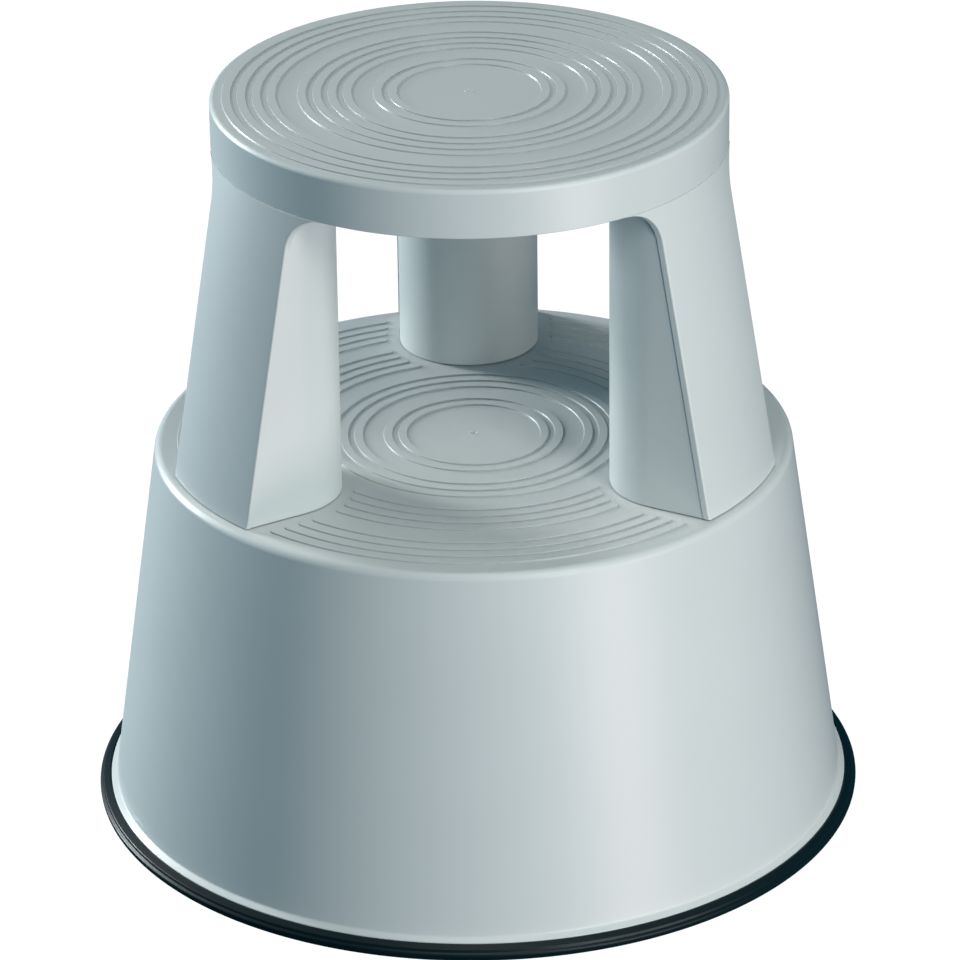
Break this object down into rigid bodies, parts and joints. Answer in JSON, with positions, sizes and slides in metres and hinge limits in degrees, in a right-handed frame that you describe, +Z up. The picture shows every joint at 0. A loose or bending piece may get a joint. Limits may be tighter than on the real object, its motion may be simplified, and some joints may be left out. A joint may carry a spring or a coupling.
{
  "type": "kick step stool",
  "caption": "Round two-step kick stool: conical drum base, open three-legged upper tread, black rubber floor ring and sprung swivel castors that retract under load.",
  "frame": {"origin": "on the floor under the stool's centre, the bottom centre of its bounding box, where the castors touch", "axes": "+Z up through both treads; one leg stands at the back towards +Y, the open side between the other two faces -Y"},
  "size_m": [0.4371, 0.4372, 0.43],
  "materials": {
    "grey_moulding": "satin moulded light grey",
    "black_rubber": "smooth matt black",
    "screw_steel": "bright zinc plate",
    "zinc_steel": "pressed, zinc plated",
    "turned_steel": "turned bright",
    "spring_steel": "drawn wire",
    "white_nylon": "natural nylon",
    "dark_race": "oiled steel race",
    "grey_nylon": "moulded mid grey",
    "castor_rubber": "soft grey-black tread"
  },
  "bodies": {
    "stool": {"upper_body": "grey_moulding", "lower_body": "grey_moulding", "floor_ring": "black_rubber", "leg_screws": "screw_steel", "leg_washers": "screw_steel", "housing_screws": "screw_steel", "castor_housing_1": "zinc_steel", "castor_bush_1": "white_nylon", "castor_housing_2": "zinc_steel", "castor_bush_2": "white_nylon", "castor_housing_3": "zinc_steel", "castor_bush_3": "white_nylon"},
    "plunger_1": {"castor_stem_1": "turned_steel", "castor_retainer_1": "turned_steel", "castor_spring_1": "spring_steel"},
    "swivel_1": {"castor_fork_1": "zinc_steel", "castor_bearing_1": "dark_race", "castor_axle_1": "turned_steel"},
    "roller_1": {"castor_wheel_1": "grey_nylon", "castor_tyre_1": "castor_rubber"},
    "plunger_2": {"castor_stem_2": "turned_steel", "castor_retainer_2": "turned_steel", "castor_spring_2": "spring_steel"},
    "swivel_2": {"castor_fork_2": "zinc_steel", "castor_bearing_2": "dark_race", "castor_axle_2": "turned_steel"},
    "roller_2": {"castor_wheel_2": "grey_nylon", "castor_tyre_2": "castor_rubber"},
    "plunger_3": {"castor_stem_3": "turned_steel", "castor_retainer_3": "turned_steel", "castor_spring_3": "spring_steel"},
    "swivel_3": {"castor_fork_3": "zinc_steel", "castor_bearing_3": "dark_race", "castor_axle_3": "turned_steel"},
    "roller_3": {"castor_wheel_3": "grey_nylon", "castor_tyre_3": "castor_rubber"}
  },
  "joints": [
    {"name": "castor_1_retract", "type": "slide", "parent": "stool", "child": "plunger_1", "axis": [0, 0, 1], "range_m": [0, 0.008], "stiffness_N_per_m": 4000, "springref_m": -0.0075, "deforming": ["castor_spring_1"]},
    {"name": "castor_1_swivel", "type": "hinge", "parent": "plunger_1", "child": "swivel_1", "pos_m": [-0.13281, 0.07392, 0.052], "axis": [0, 0, 1], "continuous": true},
    {"name": "castor_1_roll", "type": "hinge", "parent": "swivel_1", "child": "roller_1", "pos_m": [-0.13865, 0.06344, 0.02], "axis": [0.8738, -0.4863, 0], "continuous": true},
    {"name": "castor_2_retract", "type": "slide", "parent": "stool", "child": "plunger_2", "axis": [0, 0, 1], "range_m": [0, 0.008], "stiffness_N_per_m": 4000, "springref_m": -0.0075, "deforming": ["castor_spring_2"]},
    {"name": "castor_2_swivel", "type": "hinge", "parent": "plunger_2", "child": "swivel_2", "pos_m": [0.00239, -0.15198, 0.052], "axis": [0, 0, 1], "continuous": true},
    {"name": "castor_2_roll", "type": "hinge", "parent": "swivel_2", "child": "roller_2", "pos_m": [0.01439, -0.15179, 0.02], "axis": [-0.0157, 0.9999, 0], "continuous": true},
    {"name": "castor_3_retract", "type": "slide", "parent": "stool", "child": "plunger_3", "axis": [0, 0, 1], "range_m": [0, 0.008], "stiffness_N_per_m": 4000, "springref_m": -0.0075, "deforming": ["castor_spring_3"]},
    {"name": "castor_3_swivel", "type": "hinge", "parent": "plunger_3", "child": "swivel_3", "pos_m": [0.13043, 0.07806, 0.052], "axis": [0, 0, 1], "continuous": true},
    {"name": "castor_3_roll", "type": "hinge", "parent": "swivel_3", "child": "roller_3", "pos_m": [0.12426, 0.08836, 0.02], "axis": [-0.8581, -0.5135, 0], "continuous": true}
  ]
}
